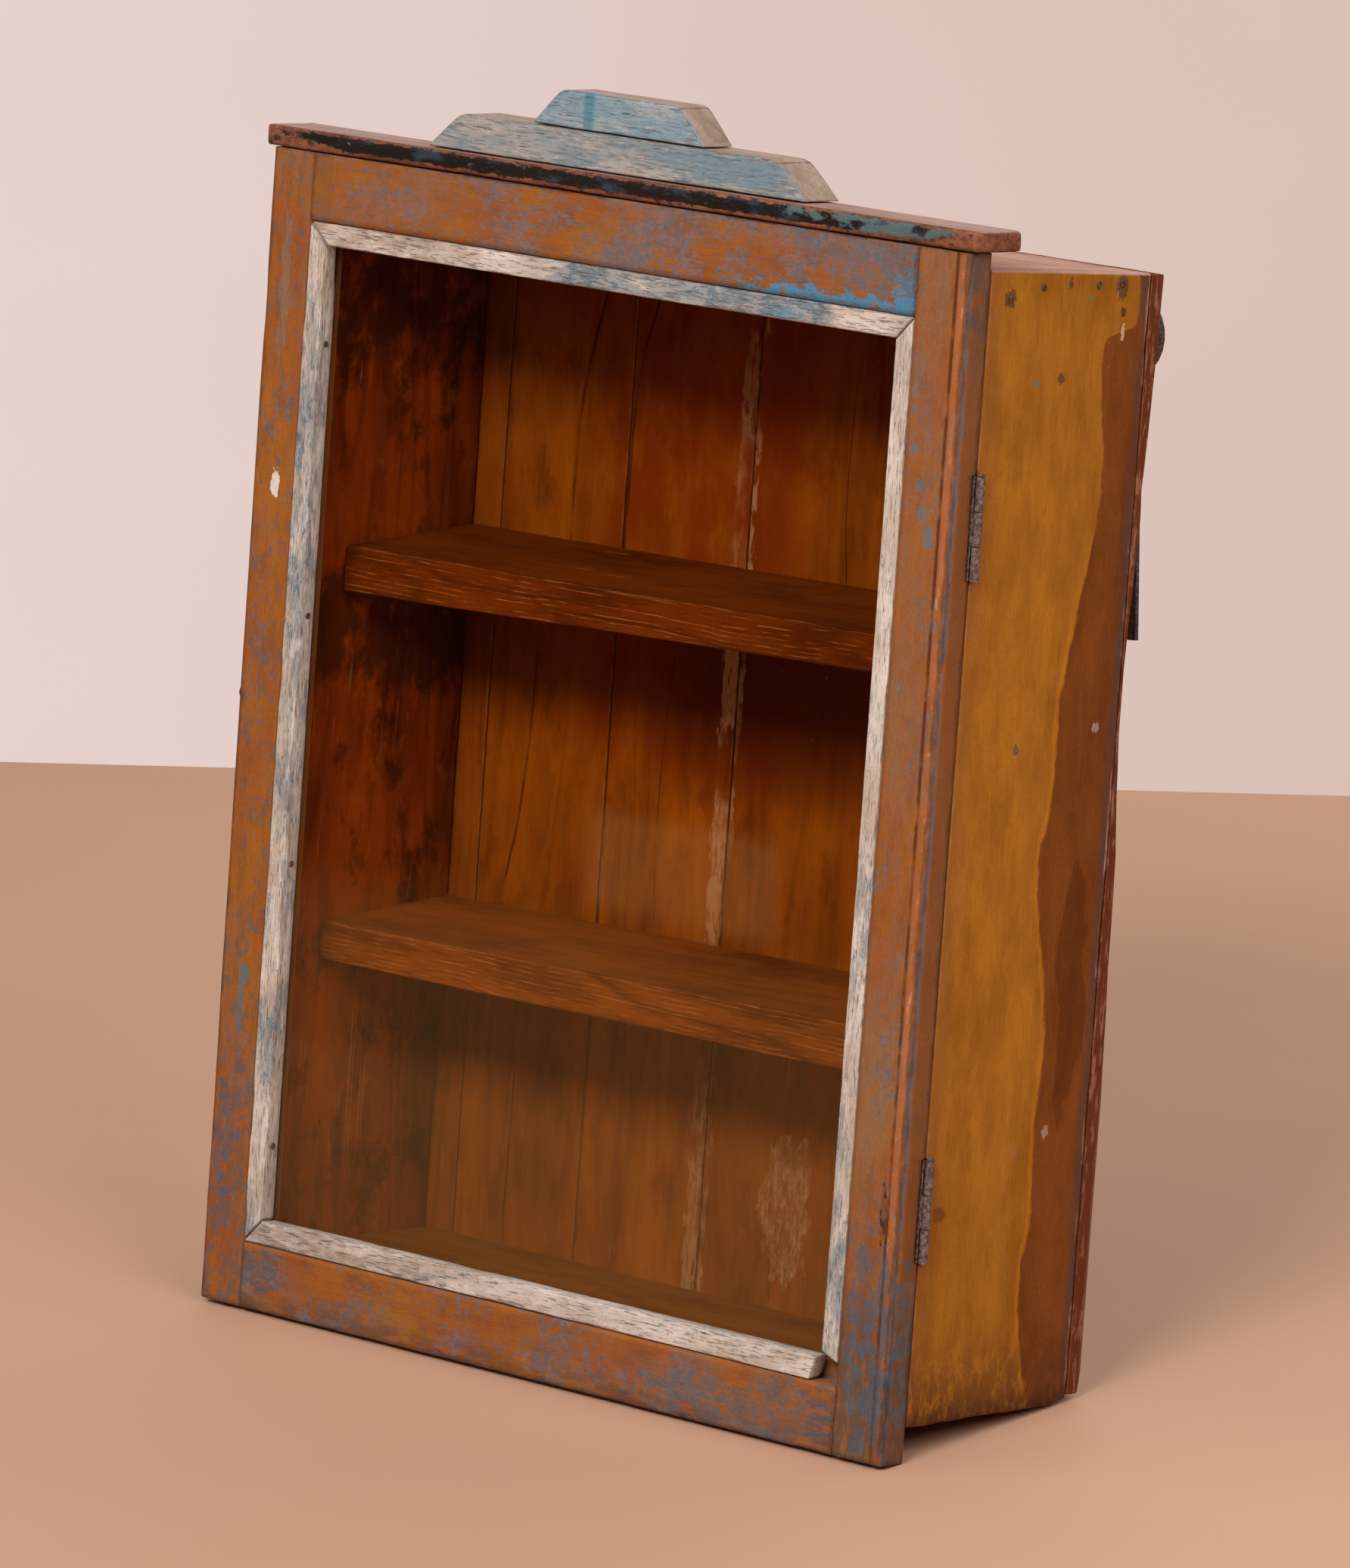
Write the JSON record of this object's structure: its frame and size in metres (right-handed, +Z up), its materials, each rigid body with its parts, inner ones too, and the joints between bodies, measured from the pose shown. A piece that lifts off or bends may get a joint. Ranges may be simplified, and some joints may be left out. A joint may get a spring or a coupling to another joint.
{
  "type": "small glazed wall cabinet",
  "caption": "Small old wall cabinet with shelves behind a hinged glazed door, a stepped pediment, iron hangers and a swinging hook catch.",
  "frame": {"origin": "at the level of the door's lower edge, under the middle of the bounding box", "axes": "+X to the right seen from the front, +Y from the door towards the back, +Z up"},
  "size_m": [0.3586, 0.1158, 0.4819],
  "materials": {
    "orange_paint": "old orange-brown paint, worn",
    "ochre_paint": "old ochre paint worn to bare wood",
    "cream_paint": "cracked cream paint",
    "dark_blue_paint": "near-black blue paint, worn at the edges",
    "sky_paint": "sky-blue paint over weathered wood",
    "grey_paint": "weathered grey and cream paint",
    "bare_wood": "aged bare softwood",
    "back_boards": "aged bare softwood, rough",
    "clear_glass": "old window glass",
    "rusty_iron": "rusted"
  },
  "bodies": {
    "carcass": {"back_plank_1": "back_boards", "back_plank_2": "back_boards", "back_plank_3": "back_boards", "back_plank_4": "back_boards", "back_plank_5": "back_boards", "floor_board": "bare_wood", "hanger_left": "rusty_iron", "hanger_left_screw_1": "rusty_iron", "hanger_left_screw_2": "rusty_iron", "hanger_right": "rusty_iron", "hanger_right_screw_1": "rusty_iron", "hanger_right_screw_2": "rusty_iron", "hinge_lower_carcass_leaf": "rusty_iron", "hinge_lower_carcass_screw_1": "rusty_iron", "hinge_lower_carcass_screw_2": "rusty_iron", "hinge_lower_pin": "rusty_iron", "hinge_upper_carcass_leaf": "rusty_iron", "hinge_upper_carcass_screw_1": "rusty_iron", "hinge_upper_carcass_screw_2": "rusty_iron", "hinge_upper_pin": "rusty_iron", "latch_pivot_screw": "rusty_iron", "shelf_lower": "bare_wood", "shelf_upper": "bare_wood", "side_left": "ochre_paint", "side_nail_1": "rusty_iron", "side_nail_2": "rusty_iron", "side_nail_3": "rusty_iron", "side_nail_4": "rusty_iron", "side_right": "ochre_paint", "top_board": "bare_wood"},
    "door": {"bead_bottom": "cream_paint", "bead_left": "cream_paint", "bead_nail_1": "rusty_iron", "bead_nail_2": "rusty_iron", "bead_nail_3": "rusty_iron", "bead_nail_4": "rusty_iron", "bead_right": "cream_paint", "bead_top": "cream_paint", "cornice_board": "dark_blue_paint", "glass_pane": "clear_glass", "hinge_lower_door_leaf": "rusty_iron", "hinge_lower_door_screw_1": "rusty_iron", "hinge_lower_door_screw_2": "rusty_iron", "hinge_upper_door_leaf": "rusty_iron", "hinge_upper_door_screw_1": "rusty_iron", "hinge_upper_door_screw_2": "rusty_iron", "latch_pin": "rusty_iron", "pediment_lower": "grey_paint", "pediment_upper": "sky_paint", "rail_bottom": "orange_paint", "rail_top": "orange_paint", "stile_left": "orange_paint", "stile_right": "orange_paint"},
    "latch_hook": {"latch_hook": "rusty_iron"}
  },
  "joints": [
    {"name": "door_hinge", "type": "hinge", "parent": "carcass", "child": "door", "pos_m": [0.1776, -0.0441, 0.2], "axis": [0, 0, 1], "range_deg": [0, 170]},
    {"name": "latch_swing", "type": "hinge", "parent": "carcass", "child": "latch_hook", "pos_m": [-0.1765, -0.0308, 0.235], "axis": [1, 0, 0], "range_deg": [-60, 268]}
  ]
}
